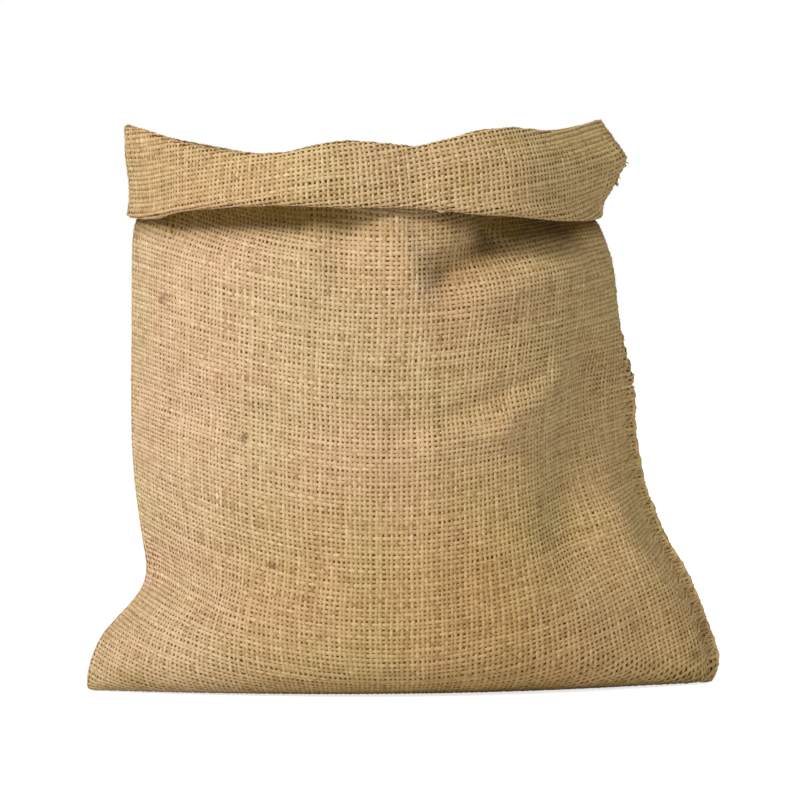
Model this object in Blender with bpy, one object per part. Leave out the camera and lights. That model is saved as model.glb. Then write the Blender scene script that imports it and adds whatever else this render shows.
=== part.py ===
"""Burlap sack that stands open, with its mouth turned down outside as a cuff.

The cloth is one panel, folded down the left side and sewn up the right side and
across the bottom. A place on it is given by two numbers. "round" runs from the
left fold (0) across the front to the seam (1) and across the back to the fold (2).
The other runs along the cloth: over the floor, up the wall, over the rim, down the
cuff, round the rolled edge and up inside it.
"""

import math
from collections import namedtuple

import bmesh
import bpy
from mathutils import Vector

MM = 0.001

# Sizes in millimetres.
CLOTH_THICKNESS = 1.5
FLAT_WIDTH = 360.0
FOOT_RADIUS = 28.0
FOOT_RADIUS_AT_SIDES = 2.5
FOOT_SPREAD = 0.8
RIM_RADIUS = 1.9
HEM_TURNED_IN = 12.0
SEAM_STANDS_OUT = 4.5
SEAM_CLOTH = 6.0
SEAM_HALF_THICKNESS = 0.9
SEAM_STARTS = (2.0, 14.0)
EDGE_TURN = 10.0
SEAM_FADES = (244.0, 262.0)
RIPPLE_FROM = 250.0
FOLDS_FADE = (274.0, 290.0)
FOLDS_CLEAR_OF_EDGES = 14.0
SEAM_INSIDE_STEP = 0.4
SHIFT_X = 0.0
SHIFT_Y = 6.2

# The faces of the mesh.
COLUMNS_PER_SIDE = 33
FLOOR_STEPS = 2
FOOT_STEPS = 3
WALL_STEPS = 18
WALL_STEPS_CLOSER_AT_ENDS = 0.5
RIM_STEPS = 4
CUFF_STEPS = 4
ROLL_STEPS = 4
HEM_STEPS = 1

UP = Vector((0, 0, 1))
CLOTH_COLOUR = (0.52, 0.37, 0.20, 1)

# Outline at each height: x of the two side edges, their depths, and the depths
# of the middle of the front and of the back.
Level = namedtuple("Level", "height left right left_y right_y front back")
LEVELS = (
    Level(0, -178.0, 173.5, -58, -12, -100.5, 78.0),
    Level(12, -177.0, 177.8, -57, -11, -101.5, 81.0),
    Level(22, -174.0, 175.6, -54, -10, -102.0, 83.0),
    Level(31, -169.6, 172.4, -49, -9, -102.0, 84.5),
    Level(40, -161.7, 169.4, -43, -8, -101.5, 86.0),
    Level(48, -154.2, 166.4, -36, -7, -101.0, 87.0),
    Level(57, -148.4, 162.4, -28, -6, -100.5, 87.5),
    Level(67, -147.2, 157.0, -20, -5, -99.5, 88.0),
    Level(80, -149.6, 149.4, -12, -4, -98.5, 88.0),
    Level(95, -152.3, 142.9, -6, -2, -97.0, 88.0),
    Level(114, -154.9, 136.0, -2, 0, -95.5, 88.0),
    Level(140, -156.6, 131.6, 0, 0, -94.0, 88.0),
    Level(172, -156.8, 130.3, 0, 0, -92.0, 87.0),
    Level(188, -156.6, 125.5, 0, 0, -91.0, 86.0),
    Level(206, -156.4, 121.5, 0, 0, -90.0, 85.0),
    Level(236, -156.2, 117.6, 0, 0, -86.5, 83.0),
    Level(256, -155.2, 111.2, 0, 0, -83.0, 80.5),
    Level(268, -151.5, 103.6, 0, 0, -80.5, 78.0),
    Level(280, -152.0, 105.4, 0, 0, -81.0, 77.0),
    Level(296, -154.5, 109.4, 0, 0, -82.0, 76.0),
    Level(319, -157.6, 107.8, 0, 0, -84.0, 75.0),
)

# The cuff: heights of the rim and of the rolled lower edge, how far its middle
# and its lower edge stand off the wall, how far the rim ripples out or in, and
# the radius of the rolled edge.
Cuff = namedtuple("Cuff", "place rim edge belly proud ripple roll")
FRONT_CUFF = (
    Cuff(0.000, 316.0, 262.3, 5.4, 6.8, 0.0, 1.8),
    Cuff(0.090, 310.4, 260.8, 6.0, 8.0, -1.0, 2.2),
    Cuff(0.15, 305.2, 264.2, 8.0, 10.5, -1.5, 2.6),
    Cuff(0.25, 299.6, 266.4, 9.0, 12.5, -1.0, 3.0),
    Cuff(0.355, 297.6, 267.5, 9.2, 12.5, 0.5, 2.9),
    Cuff(0.42, 301.6, 266.9, 9.0, 12.0, 2.5, 2.9),
    Cuff(0.47, 303.9, 266.0, 8.5, 11.0, 2.0, 2.7),
    Cuff(0.53, 302.8, 266.3, 8.5, 10.5, 0.0, 2.6),
    Cuff(0.585, 301.4, 265.8, 8.5, 10.5, -1.5, 2.5),
    Cuff(0.635, 304.8, 264.6, 8.5, 10.5, 0.0, 2.7),
    Cuff(0.69, 309.8, 262.7, 9.0, 11.5, 2.0, 3.0),
    Cuff(0.750, 311.9, 261.9, 9.5, 12.5, 3.0, 3.5),
    Cuff(0.850, 311.2, 259.9, 11.0, 13.0, 0.0, 3.4),
    Cuff(0.945, 315.6, 260.2, 13.0, 11.0, -1.0, 2.6),
    Cuff(1.000, 319.0, 261.9, 14.5, 7.4, 0.0, 1.8),
)
BACK_CUFF = (
    Cuff(0.00, 316.0, 262.3, 5.4, 6.8, 0.0, 1.8),
    Cuff(0.10, 310.4, 262.0, 6.0, 8.0, 1.5, 2.2),
    Cuff(0.2, 305.6, 264.0, 8.0, 11.0, -1.0, 2.6),
    Cuff(0.3, 300.8, 265.5, 9.0, 12.0, -1.0, 2.9),
    Cuff(0.4, 297.0, 264.5, 8.5, 11.0, 1.5, 2.7),
    Cuff(0.5, 295.8, 262.5, 8.5, 10.5, 2.0, 2.6),
    Cuff(0.65, 297.0, 262.0, 8.5, 11.0, -1.0, 2.6),
    Cuff(0.80, 303.0, 262.5, 9.5, 12.0, 1.5, 3.3),
    Cuff(0.91, 311.0, 262.0, 12.0, 11.0, -1.0, 2.8),
    Cuff(1.00, 319.0, 261.9, 14.5, 7.4, 0.0, 1.8),
)

# Soft folds of the wall, each along a line on the cloth: distance round from the
# left fold and height at its two ends, half its width, and how far it stands out
# (a ridge) or goes in (a trough).
Fold = namedtuple("Fold", "around_1 height_1 around_2 height_2 width depth")
FOLDS = (
    Fold(50, 258, 134, 260, 12, -9.0),
    Fold(166, 262, 163, 228, 12, -4.5),
    Fold(197, 256, 202, 228, 11, 4.5),
    Fold(224, 231, 264, 250, 12, -10.5),
    Fold(266, 257, 322, 262, 16, -12.0),
    Fold(238, 216, 318, 238, 11, 3.5),
    Fold(316, 174, 280, 84, 22, -8.0),
    Fold(182, 130, 250, 147, 9, 2.6),
    Fold(250, 147, 305, 184, 10, 2.8),
    Fold(190, 141, 282, 176, 7, -2.2),
    Fold(120, 152, 196, 139, 8, -1.8),
    Fold(318, 88, 345, 22, 19, 5.0),
    Fold(20, 165, 96, 148, 10, -2.0),
    Fold(88, 78, 127, 75, 10, -2.2),
    Fold(10, 66, 48, 50, 12, -3.5),
    Fold(548, 272, 540, 215, 13, -5.0),
    Fold(480, 250, 430, 205, 14, -4.5),
    Fold(600, 246, 655, 195, 14, -4.0),
    Fold(395, 90, 470, 128, 15, -4.0),
    Fold(700, 72, 640, 48, 12, -3.5),
)


def smooth(rows, place, column):
    """Value of a column between two rows, on a curve that passes through every row."""
    last = len(rows) - 1
    first = sum(row[0] <= place for row in rows) - 1
    first = min(max(first, 0), last - 1)

    def slope(index):
        before = rows[max(index - 1, 0)]
        after = rows[min(index + 1, last)]
        return (getattr(after, column) - getattr(before, column)) / (after[0] - before[0])

    low, high = rows[first], rows[first + 1]
    span = high[0] - low[0]
    t = min(max((place - low[0]) / span, 0), 1)
    start = getattr(low, column)
    end = getattr(high, column)
    lift = (slope(first) * (1 - t) - slope(first + 1) * t) * span * t * (1 - t)
    ease = t * t * (3 - 2 * t)
    return start + (end - start) * ease + lift


def ease_between(value, start, end):
    t = min(max((value - start) / (end - start), 0), 1)
    return t * t * (3 - 2 * t)


def across(around):
    """Share of the way from the left edge to the right one, on either side."""
    return around if around <= 1 else 2 - around


def is_front(around):
    return around <= 1


def cuff_value(around, column):
    rows = FRONT_CUFF if is_front(around) else BACK_CUFF
    return smooth(rows, across(around), column)


def fold_depth(around, height):
    """How far all the folds together move the wall outwards at a place."""
    distance = around * FLAT_WIDTH
    total = 0
    for fold in FOLDS:
        run = Vector((fold.around_2 - fold.around_1, fold.height_2 - fold.height_1))
        place = Vector((distance - fold.around_1, height - fold.height_1))
        share = min(max(place.dot(run) / run.length_squared, 0), 1)
        off_line = (place - run * share).length / fold.width
        total += fold.depth * math.exp(-off_line * off_line)
    return total * (1 - ease_between(height, *FOLDS_FADE))


def seam_share(height):
    """How fully the seam stands out at a height: it starts above the floor and ends under the cuff."""
    return ease_between(height, *SEAM_STARTS) * (1 - ease_between(height, *SEAM_FADES))


def outline(around, height):
    """Point and outward direction of the plain outline at a height, without folds.

    The front and the back are arcs between the two side edges. At the seam the
    last of the cloth turns out, so that the two sides lie against each other.
    """
    level = {name: smooth(LEVELS, height, name) for name in Level._fields[1:]}
    seam = seam_share(height)
    left = Vector((level["left"], level["left_y"], 0))
    right = Vector((level["right"] - SEAM_STANDS_OUT * seam, level["right_y"], 0))
    middle_y = level["front"] if is_front(around) else level["back"]
    centre = (left + right) / 2
    half = (right - left).length / 2
    chord = (right - left).normalized()
    out = Vector((-chord.y, chord.x, 0)) * (-1 if is_front(around) else 1)
    bulge = abs(middle_y - centre.y)
    most = 2 * math.atan(bulge / half)
    share = across(around)
    angle = most * (2 * share - 1)
    rise = (math.cos(angle) - math.cos(most)) / (1 - math.cos(most))
    point = centre + chord * (half * math.sin(angle) / math.sin(most)) + out * (bulge * rise)
    normal = chord * math.sin(angle) + out * math.cos(angle)
    sideways = chord * (1 if share > 0.5 else -1)
    from_edge = ease_between(min(share, 1 - share) * FLAT_WIDTH, 0, EDGE_TURN)
    normal = sideways.lerp(normal, from_edge).normalized()
    seam_from = 1 - SEAM_CLOTH / FLAT_WIDTH
    if share > seam_from:
        turned = (share - seam_from) / (1 - seam_from)
        beside = SEAM_HALF_THICKNESS * (1 - turned)
        flat = right + chord * (SEAM_STANDS_OUT * turned) + out * beside
        point = point.lerp(flat, seam)
        normal = normal.lerp(out * (1 - turned) + chord * turned, seam).normalized()
    return point, normal


def wall(around, height):
    """Middle of the cloth where it stands as the wall, and its outward direction."""
    point, normal = outline(around, height)
    rim = cuff_value(around, "rim")
    ripple = cuff_value(around, "ripple") * ease_between(height, RIPPLE_FROM, rim)
    share = across(around)
    from_edge = min(share, 1 - share) * FLAT_WIDTH
    free_of_edges = ease_between(from_edge, 0, FOLDS_CLEAR_OF_EDGES)
    moved = ripple + fold_depth(around, height) * free_of_edges - CLOTH_THICKNESS / 2
    return point + normal * moved + UP * height, normal


def foot_radius(around):
    """Radius of the turn from the floor to the wall, small at the side edges."""
    rise = math.sin(math.pi * across(around))
    return FOOT_RADIUS_AT_SIDES + (FOOT_RADIUS - FOOT_RADIUS_AT_SIDES) * rise**FOOT_SPREAD


def floor_edge(around):
    radius = foot_radius(around)
    point, normal = wall(around, radius + CLOTH_THICKNESS / 2)
    inner = point - normal * radius
    inner.z = CLOTH_THICKNESS / 2
    return inner


def floor(around, share):
    """From the bottom seam, straight between the two lower corners, to the foot."""
    seam = floor_edge(0).lerp(floor_edge(1), across(around))
    return seam.lerp(floor_edge(around), share)


def foot(around, share):
    radius = foot_radius(around)
    angle = share * math.pi / 2
    start = floor_edge(around)
    end, _ = wall(around, radius + CLOTH_THICKNESS / 2)
    point = start.lerp(end, math.sin(angle))
    point.z = start.z + radius * (1 - math.cos(angle))
    return point


def rim_centre_height(around):
    return cuff_value(around, "rim") - RIM_RADIUS - CLOTH_THICKNESS / 2


def upright(around, share):
    """The wall, with its steps closer together at the foot and under the rim."""
    bottom = foot_radius(around) + CLOTH_THICKNESS / 2
    turn = 2 * math.pi
    share -= WALL_STEPS_CLOSER_AT_ENDS * math.sin(turn * share) / turn
    height = bottom + (rim_centre_height(around) - bottom) * share
    return wall(around, height)[0]


def rim(around, share):
    angle = share * math.pi
    point, normal = wall(around, rim_centre_height(around))
    outwards = RIM_RADIUS * (1 - math.cos(angle))
    return point + normal * outwards + UP * (RIM_RADIUS * math.sin(angle))


def roll_centre_height(around):
    radius = cuff_value(around, "roll")
    return cuff_value(around, "edge") + radius + CLOTH_THICKNESS / 2


def cuff_at(around, height):
    """Middle of the cuff's cloth at a height, and its outward direction."""
    top = rim_centre_height(around)
    bottom = roll_centre_height(around)
    share = (top - height) / (top - bottom)
    start = 2 * RIM_RADIUS
    belly = cuff_value(around, "belly")
    proud = cuff_value(around, "proud")
    stands_off = start * (1 - share) * (1 - 2 * share)
    stands_off += 4 * belly * share * (1 - share) + proud * share * (2 * share - 1)
    point, normal = outline(around, height)
    moved = stands_off + cuff_value(around, "ripple") - CLOTH_THICKNESS / 2
    return point + normal * moved + UP * height, normal


def cuff(around, share):
    top = rim_centre_height(around)
    bottom = roll_centre_height(around)
    return cuff_at(around, top + (bottom - top) * share)[0]


def roll(around, share):
    """The lower edge of the cuff, turned in towards the wall."""
    angle = share * math.pi
    bottom = roll_centre_height(around)
    point, normal = cuff_at(around, bottom)
    radius = cuff_value(around, "roll")
    inwards = radius * (1 - math.cos(angle))
    return point - normal * inwards - UP * (radius * math.sin(angle))


def hem(around, share):
    """The raw edge, which ends inside the cuff."""
    bottom = roll_centre_height(around)
    point, normal = cuff_at(around, bottom + HEM_TURNED_IN * share)
    return point - normal * (2 * cuff_value(around, "roll"))


RUNS = (
    (floor, FLOOR_STEPS),
    (foot, FOOT_STEPS),
    (upright, WALL_STEPS),
    (rim, RIM_STEPS),
    (cuff, CUFF_STEPS),
    (roll, ROLL_STEPS),
    (hem, HEM_STEPS),
)


def columns():
    """Places round the sack where the mesh has its points."""
    seam_from = 1 - SEAM_CLOTH / FLAT_WIDTH
    front = [seam_from * i / COLUMNS_PER_SIDE for i in range(COLUMNS_PER_SIDE + 1)]
    back = [2 - place for place in reversed(front[1:])]
    return front + [1.0] + back


def middle_grid(places):
    """Rows of points along the cloth, from the bottom seam to the raw edge."""
    rows = [[floor(place, 0) for place in places]]
    for run, steps in RUNS:
        for step in range(1, steps + 1):
            rows.append([run(place, step / steps) for place in places])
    return rows


def outward(rows, row, column):
    """Direction away from the inside of the sack, across the cloth."""
    if row <= FLOOR_STEPS:
        return -UP
    count = len(rows[row])
    after = rows[row][(column + 1) % count]
    before = rows[row][column - 1]
    above = rows[min(row + 1, len(rows) - 1)][column]
    below = rows[row - 1][column]
    return (after - before).cross(above - below).normalized()


def skins(rows, places):
    """The cloth's outer face and inner face, as two grids of points."""
    half = CLOTH_THICKNESS / 2
    outer, inner = [], []
    for r, row in enumerate(rows):
        normals = [outward(rows, r, c) for c in range(len(row))]
        outer.append([point + n * half for point, n in zip(row, normals)])
        inner.append([point - n * half for point, n in zip(row, normals)])
        close_seam(row, places, inner[-1], normals)
    return outer, inner


def close_seam(row, places, inner, normals):
    """Keeps the inner face out of the seam, where the two sides are sewn together."""
    tip = places.index(1.0)
    seam = seam_share(row[tip].z)
    beside = (inner[tip - 1] + inner[tip + 1]) / 2
    inner[tip] = inner[tip].lerp(beside + Vector((SEAM_INSIDE_STEP, 0, 0)), seam)


def sack_mesh():
    places = columns()
    outer, inner = skins(middle_grid(places), places)
    mesh = bmesh.new()
    grids = []
    for skin in (outer, inner):
        shifted = [
            [mesh.verts.new((point + Vector((SHIFT_X, SHIFT_Y, 0))) * MM) for point in row]
            for row in skin
        ]
        grids.append(shifted)
    count = len(places)
    for side, grid in enumerate(grids):
        for low, high in zip(grid, grid[1:]):
            for c in range(count):
                corners = [low[c], low[(c + 1) % count], high[(c + 1) % count], high[c]]
                mesh.faces.new(corners if side == 0 else corners[::-1])
    for c in range(count):
        d = (c + 1) % count
        mesh.faces.new([grids[0][-1][c], grids[0][-1][d], grids[1][-1][d], grids[1][-1][c]])
    bmesh.ops.remove_doubles(mesh, verts=mesh.verts, dist=1e-7)
    bmesh.ops.triangulate(mesh, faces=mesh.faces)
    return mesh


def burlap():
    material = bpy.data.materials.new("burlap")
    material.use_nodes = True
    shader = material.node_tree.nodes["Principled BSDF"]
    shader.inputs["Base Color"].default_value = CLOTH_COLOUR
    shader.inputs["Roughness"].default_value = 0.95
    shader.inputs["Metallic"].default_value = 0.0
    return material


def make_sack():
    data = bpy.data.meshes.new("sack_cloth")
    mesh = sack_mesh()
    mesh.to_mesh(data)
    mesh.free()
    data.shade_smooth()
    data.materials.append(burlap())
    sack = bpy.data.objects.new("sack_cloth", data)
    bpy.context.scene.collection.objects.link(sack)
    return sack


for old in list(bpy.data.objects):
    bpy.data.objects.remove(old, do_unlink=True)
make_sack()
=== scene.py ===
import bpy
import numpy as np
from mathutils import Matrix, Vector


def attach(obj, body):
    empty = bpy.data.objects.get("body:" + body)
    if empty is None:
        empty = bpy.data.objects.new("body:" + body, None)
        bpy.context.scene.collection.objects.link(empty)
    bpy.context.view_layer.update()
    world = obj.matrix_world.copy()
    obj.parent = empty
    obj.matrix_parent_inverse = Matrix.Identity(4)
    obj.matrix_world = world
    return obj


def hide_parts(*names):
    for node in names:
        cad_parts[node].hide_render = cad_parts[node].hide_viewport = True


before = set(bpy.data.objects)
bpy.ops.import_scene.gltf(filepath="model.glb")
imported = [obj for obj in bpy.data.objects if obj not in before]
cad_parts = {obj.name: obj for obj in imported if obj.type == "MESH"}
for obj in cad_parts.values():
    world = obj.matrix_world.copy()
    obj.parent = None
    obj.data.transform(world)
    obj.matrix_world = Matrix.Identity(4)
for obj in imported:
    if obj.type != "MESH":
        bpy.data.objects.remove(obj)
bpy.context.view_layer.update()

# ---------------------------------------------------------------------------
# The panel of burlap as it stands: one piece of jute cloth, folded down the left
# side and sewn up the right. Its mouth is turned down outside as a deep cuff, whose
# raw edge is turned in, and its two lower corners spread out as ears. Millimetres.

cloth_thickness = 1.5
flat_width = 360.0
foot_radius_most, foot_radius_least, foot_spread = 28.0, 2.5, 0.8
rim_radius, hem_turned_in = 1.9, 12.0
seam_stands_out, seam_cloth, seam_half_thickness, seam_tip_half = 4.5, 6.0, 0.9, 0.6
seam_starts, seam_fades = (2.0, 14.0), (165.0, 215.0)
edge_turn, clear_of_edges = 10.0, 14.0
ripple_from, folds_fade = 250.0, (274.0, 290.0)
# The tables below are drawn a little too far forward, and the sack is moved back so
# that the middle of its box stands over the origin.
moved_back = 6.2j


def rows_of(names, *rows):
    """A table whose columns have names."""
    return np.array(list(rows), dtype=[(name, float) for name in names.split()])


# At each height: x of the two side edges, their depths, and the middle of each face.
levels = rows_of(
    "height left right left_y right_y front back",
    (0, -178.0, 173.5, -58, -12, -100.5, 78.0),
    (12, -177.0, 177.8, -57, -11, -101.5, 81.0),
    (22, -174.0, 175.6, -54, -10, -102.0, 83.0),
    (31, -169.6, 172.4, -49, -9, -102.0, 84.5),
    (40, -161.7, 169.4, -43, -8, -101.5, 86.0),
    (48, -154.2, 166.4, -36, -7, -101.0, 87.0),
    (57, -148.4, 162.4, -28, -6, -100.5, 87.5),
    (67, -147.2, 157.0, -20, -5, -99.5, 88.0),
    (80, -149.6, 149.4, -12, -4, -98.5, 88.0),
    (95, -152.3, 142.9, -6, -2, -97.0, 88.0),
    (114, -154.9, 136.0, -2, 0, -95.5, 88.0),
    (140, -156.6, 131.6, 0, 0, -94.0, 88.0),
    (172, -156.8, 130.3, 0, 0, -92.0, 87.0),
    (188, -156.6, 125.5, 0, 0, -91.0, 86.0),
    (206, -156.4, 121.5, 0, 0, -90.0, 85.0),
    (236, -156.2, 117.6, 0, 0, -86.5, 83.0),
    (256, -155.2, 111.2, 0, 0, -83.0, 80.5),
    (268, -151.5, 103.6, 0, 0, -80.5, 78.0),
    (280, -152.0, 105.4, 0, 0, -81.0, 77.0),
    (296, -154.5, 109.4, 0, 0, -82.0, 76.0),
    (319, -157.6, 107.8, 0, 0, -84.0, 75.0),
)

# Along each face from the left: heights of the rim and of the cuff's rolled edge, how
# far the cuff's middle and edge stand off the wall, how far the rim ripples out, and
# the radius of the rolled edge.
front_cuff = rows_of(
    "place rim edge belly proud ripple roll",
    (0.000, 316.0, 262.3, 5.4, 6.8, 0.0, 1.8),
    (0.090, 310.4, 260.8, 6.0, 8.0, -1.0, 2.2),
    (0.15, 305.2, 264.2, 8.0, 10.5, -1.5, 2.6),
    (0.25, 299.6, 266.4, 9.0, 12.5, -1.0, 3.0),
    (0.355, 297.6, 267.5, 9.2, 12.5, 0.5, 2.9),
    (0.42, 301.6, 266.9, 9.0, 12.0, 2.5, 2.9),
    (0.47, 303.9, 266.0, 8.5, 11.0, 2.0, 2.7),
    (0.53, 302.8, 266.3, 8.5, 10.5, 0.0, 2.6),
    (0.585, 301.4, 265.8, 8.5, 10.5, -1.5, 2.5),
    (0.635, 304.8, 264.6, 8.5, 10.5, 0.0, 2.7),
    (0.69, 309.8, 262.7, 9.0, 11.5, 2.0, 3.0),
    (0.750, 311.9, 261.9, 9.5, 12.5, 3.0, 3.5),
    (0.850, 311.2, 259.9, 11.0, 13.0, 0.0, 3.4),
    (0.945, 315.6, 260.2, 13.0, 11.0, -1.0, 2.6),
    (1.000, 319.0, 261.9, 14.5, 7.4, 0.0, 1.8),
)
back_cuff = rows_of(
    "place rim edge belly proud ripple roll",
    (0.00, 316.0, 262.3, 5.4, 6.8, 0.0, 1.8),
    (0.10, 310.4, 262.0, 6.0, 8.0, 1.5, 2.2),
    (0.2, 305.6, 264.0, 8.0, 11.0, -1.0, 2.6),
    (0.3, 300.8, 265.5, 9.0, 12.0, -1.0, 2.9),
    (0.4, 297.0, 264.5, 8.5, 11.0, 1.5, 2.7),
    (0.5, 295.8, 262.5, 8.5, 10.5, 2.0, 2.6),
    (0.65, 297.0, 262.0, 8.5, 11.0, -1.0, 2.6),
    (0.80, 303.0, 262.5, 9.5, 12.0, 1.5, 3.3),
    (0.91, 311.0, 262.0, 12.0, 11.0, -1.0, 2.8),
    (1.00, 319.0, 261.9, 14.5, 7.4, 0.0, 1.8),
)

# Soft ridges and troughs, each along a line on the wall: distance round from the left
# fold and height of its two ends, half its width, and how far it stands out or goes in.
folds = rows_of(
    "around_1 height_1 around_2 height_2 width depth",
    (50, 258, 134, 260, 12, -9.0),
    (166, 262, 163, 228, 12, -4.5),
    (197, 256, 202, 228, 11, 4.5),
    (224, 231, 264, 250, 12, -10.5),
    (266, 257, 322, 262, 16, -12.0),
    (238, 216, 318, 238, 11, 3.5),
    (316, 174, 280, 84, 22, -8.0),
    (182, 130, 250, 147, 9, 2.6),
    (250, 147, 305, 184, 10, 2.8),
    (190, 141, 282, 176, 7, -2.2),
    (120, 152, 196, 139, 8, -1.8),
    (318, 88, 345, 22, 19, 5.0),
    (20, 165, 96, 148, 10, -2.0),
    (88, 78, 127, 75, 10, -2.2),
    (10, 66, 48, 50, 12, -3.5),
    (548, 272, 540, 215, 13, -5.0),
    (480, 250, 430, 205, 14, -4.5),
    (600, 246, 655, 195, 14, -4.0),
    (395, 90, 470, 128, 15, -4.0),
    (700, 72, 640, 48, 12, -3.5),
)


def ease_between(value, start, end):
    """Rises softly from 0 at the start to 1 at the end."""
    t = np.clip((value - start) / (end - start), 0, 1)
    return t * t * (3 - 2 * t)


def smooth(table, place, name):
    """A column of a table at any place, on a curve through every row."""
    x, y = table[table.dtype.names[0]], table[name]
    slope = np.gradient(y, x) * 0
    slope[1:-1] = (y[2:] - y[:-2]) / (x[2:] - x[:-2])
    slope[0], slope[-1] = (y[1] - y[0]) / (x[1] - x[0]), (y[-1] - y[-2]) / (x[-1] - x[-2])
    low = np.clip(np.searchsorted(x, place, side="right") - 1, 0, len(x) - 2)
    span = x[low + 1] - x[low]
    t = np.clip((place - x[low]) / span, 0, 1)
    lift = (slope[low] * (1 - t) - slope[low + 1] * t) * span * t * (1 - t)
    return y[low] + (y[low + 1] - y[low]) * t * t * (3 - 2 * t) + lift


def across(around):
    """Share of the way from the left fold to the seam. Places from 1 to 2 are on the back."""
    return np.where(around <= 1, around, 2 - around)


def cuff_value(around, name):
    """A column of the cuff's tables, on the front or the back."""
    share = across(around)
    return np.where(
        around <= 1, smooth(front_cuff, share, name), smooth(back_cuff, share, name)
    )


def fold_depth(around, height):
    """How far all the folds together move the wall outwards at a place."""
    distance = around * flat_width
    total = 0 * distance * height
    for fold in folds:
        run = (fold["around_2"] - fold["around_1"]) + 1j * (fold["height_2"] - fold["height_1"])
        place = (distance - fold["around_1"]) + 1j * (height - fold["height_1"])
        share = np.clip((place * np.conj(run)).real / abs(run) ** 2, 0, 1)
        total = total + fold["depth"] * np.exp(-((abs(place - run * share) / fold["width"]) ** 2))
    return total * (1 - ease_between(height, *folds_fade))


def outline(around, height):
    """Point and outward direction of the plain outline, both as x + iy.

    Each face is an arc between the side edges. Over the last of it the two faces
    come together and lie against each other in the seam."""
    level = {name: smooth(levels, height, name) for name in levels.dtype.names[1:]}
    seam = ease_between(height, *seam_starts) * (1 - ease_between(height, *seam_fades))
    left = level["left"] + 1j * level["left_y"]
    right = level["right"] - seam_stands_out * seam + 1j * level["right_y"]
    centre, half = (left + right) / 2, abs(right - left) / 2
    chord = (right - left) / abs(right - left)
    out = 1j * chord * np.where(around <= 1, -1, 1)
    bulge = abs(np.where(around <= 1, level["front"], level["back"]) - centre.imag)
    most = 2 * np.arctan(bulge / half)

    def arc(share):
        angle = most * (2 * share - 1)
        rise = (np.cos(angle) - np.cos(most)) / (1 - np.cos(most))
        point = centre + chord * half * np.sin(angle) / np.sin(most) + out * bulge * rise
        return point, chord * np.sin(angle) + out * np.cos(angle)

    share = across(around)
    point, normal = arc(share)
    seam_from = 1 - seam_cloth / flat_width
    turned = np.clip((share - seam_from) / (1 - seam_from), 0, 1)
    begins, _ = arc(seam_from)
    tip = right + chord * seam_stands_out * seam
    bend = ((begins + tip) / 2) * (1 - seam) + (right + out * seam_half_thickness) * seam
    joined = begins * (1 - turned) ** 2 + 2 * bend * turned * (1 - turned) + tip * turned**2
    joined = joined + out * seam_tip_half * seam * turned
    point = np.where(turned > 0, joined, point)
    sideways = chord * np.where(share > 0.5, 1, -1)
    inner = ease_between(np.minimum(share, 1 - share) * flat_width, 0, edge_turn)
    normal = sideways * (1 - inner) + normal * inner
    return point, normal / abs(normal)


def wall(around, height):
    """The middle of the wall's cloth at a place, with its ripples and folds."""
    point, normal = outline(around, height)
    from_edge = np.minimum(across(around), 1 - across(around)) * flat_width
    moved = cuff_value(around, "ripple") * ease_between(
        height, ripple_from, cuff_value(around, "rim")
    )
    moved = moved + fold_depth(around, height) * ease_between(from_edge, 0, clear_of_edges)
    return point + normal * (moved - cloth_thickness / 2), normal


# Rows of points in each stretch of the cloth, from the bottom seam to the raw edge.
floor_rows, foot_rows, wall_rows, rim_rows = 16, 9, 119, 11
cuff_rows, roll_rows, hem_rows = 27, 11, 7


def steps(end, count):
    """Even steps up to an end, without the zero that they start from."""
    return np.linspace(0, end, count + 1)[1:]


def cloth_path(around):
    """The cloth from the bottom seam to its raw edge, as rows of points for each place."""
    half = cloth_thickness / 2
    zero = 0 * around

    def foot_edge(around):
        rise = np.sin(np.pi * across(around)).clip(0)
        radius = foot_radius_least + (foot_radius_most - foot_radius_least) * rise**foot_spread
        point, normal = wall(around, radius + half)
        return point - normal * radius, point, radius

    edge, stand, radius = foot_edge(around)
    corner_left, corner_right = (foot_edge(np.array([corner]))[0][0] for corner in (0.0, 1.0))
    seam = corner_left + (corner_right - corner_left) * across(around)
    rows = [(seam + (edge - seam) * share, zero + half) for share in np.linspace(0, 1, floor_rows)]
    for angle in steps(np.pi / 2, foot_rows):
        point = edge + (stand - edge) * np.sin(angle)
        rows.append((point, half + radius * (1 - np.cos(angle))))
    top = cuff_value(around, "rim") - rim_radius - half
    for share in steps(1, wall_rows):
        height = radius + half + (top - radius - half) * share
        rows.append((wall(around, height)[0], height))
    point, normal = wall(around, top)
    for angle in steps(np.pi, rim_rows):
        rows.append(
            (point + normal * rim_radius * (1 - np.cos(angle)), top + rim_radius * np.sin(angle))
        )
    roll_radius = cuff_value(around, "roll")
    bottom = cuff_value(around, "edge") + roll_radius + half
    belly, proud = cuff_value(around, "belly"), cuff_value(around, "proud")

    def cuff_at(share):
        stands_off = 2 * rim_radius * (1 - share) * (1 - 2 * share)
        stands_off = stands_off + 4 * belly * share * (1 - share) + proud * share * (2 * share - 1)
        height = top + (bottom - top) * share
        point, normal = outline(around, height)
        moved = stands_off + cuff_value(around, "ripple") - half
        return point + normal * moved, normal, height

    for share in steps(1, cuff_rows):
        point, normal, height = cuff_at(share)
        rows.append((point, height))
    for angle in steps(np.pi, roll_rows):
        inwards = roll_radius * (1 - np.cos(angle))
        rows.append((point - normal * inwards, bottom - roll_radius * np.sin(angle)))
    for rise in steps(hem_turned_in, hem_rows):
        share = (top - bottom - rise) / (top - bottom)
        point, normal, height = cuff_at(share)
        rows.append((point - normal * 2 * roll_radius, height))
    flat = np.array([point for point, _ in rows]) + moved_back
    return np.stack([flat.real, flat.imag, np.array([z for _, z in rows])], -1)


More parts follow.
